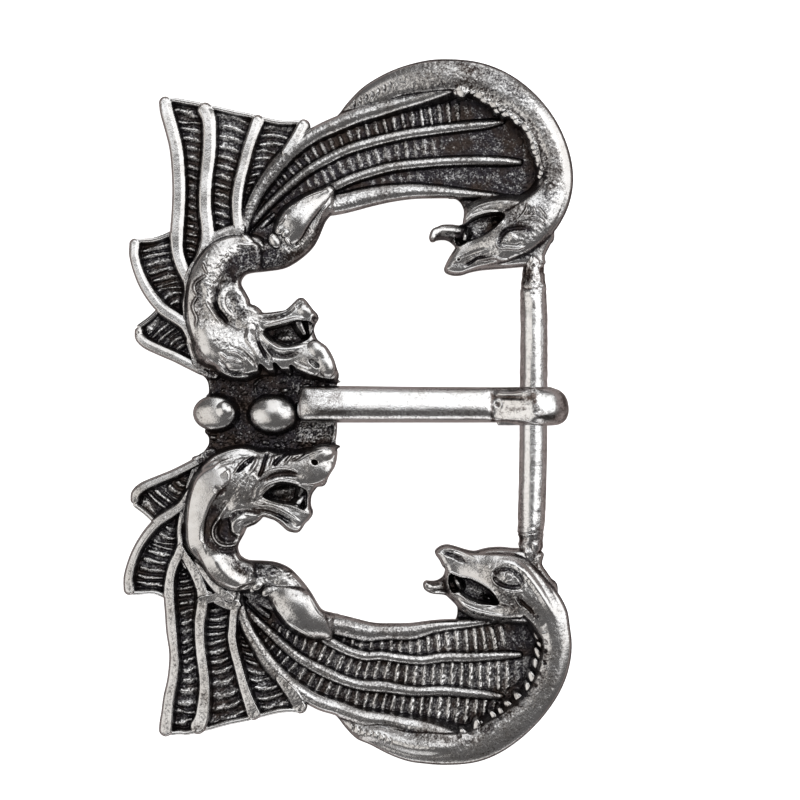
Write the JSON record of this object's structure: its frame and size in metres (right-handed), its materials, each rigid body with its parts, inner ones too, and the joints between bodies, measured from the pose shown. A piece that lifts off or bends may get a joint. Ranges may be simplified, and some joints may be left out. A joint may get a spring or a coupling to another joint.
{
  "type": "belt buckle",
  "caption": "Cast openwork belt buckle: winged dragons and serpents round a strap window, with a round hinge bar and a swinging tongue.",
  "frame": {"origin": "middle of the whole outline seen from above, on the flat back", "axes": "+X from the dragons to the hinge bar, +Y along the bar, +Z out of the decorated face"},
  "size_m": [0.063, 0.0988, 0.008],
  "materials": {
    "blackened_silver": "satin",
    "bright_silver": "satin"
  },
  "bodies": {
    "frame": {"buckle_frame": "blackened_silver", "hinge_bar": "bright_silver"},
    "tongue": {"tongue": "bright_silver"}
  },
  "joints": [
    {"name": "tongue_hinge", "type": "hinge", "parent": "frame", "child": "tongue", "pos_m": [0.02587, 0.001, 0.0043], "axis": [0, 1, 0], "range_deg": [0, 180]}
  ]
}
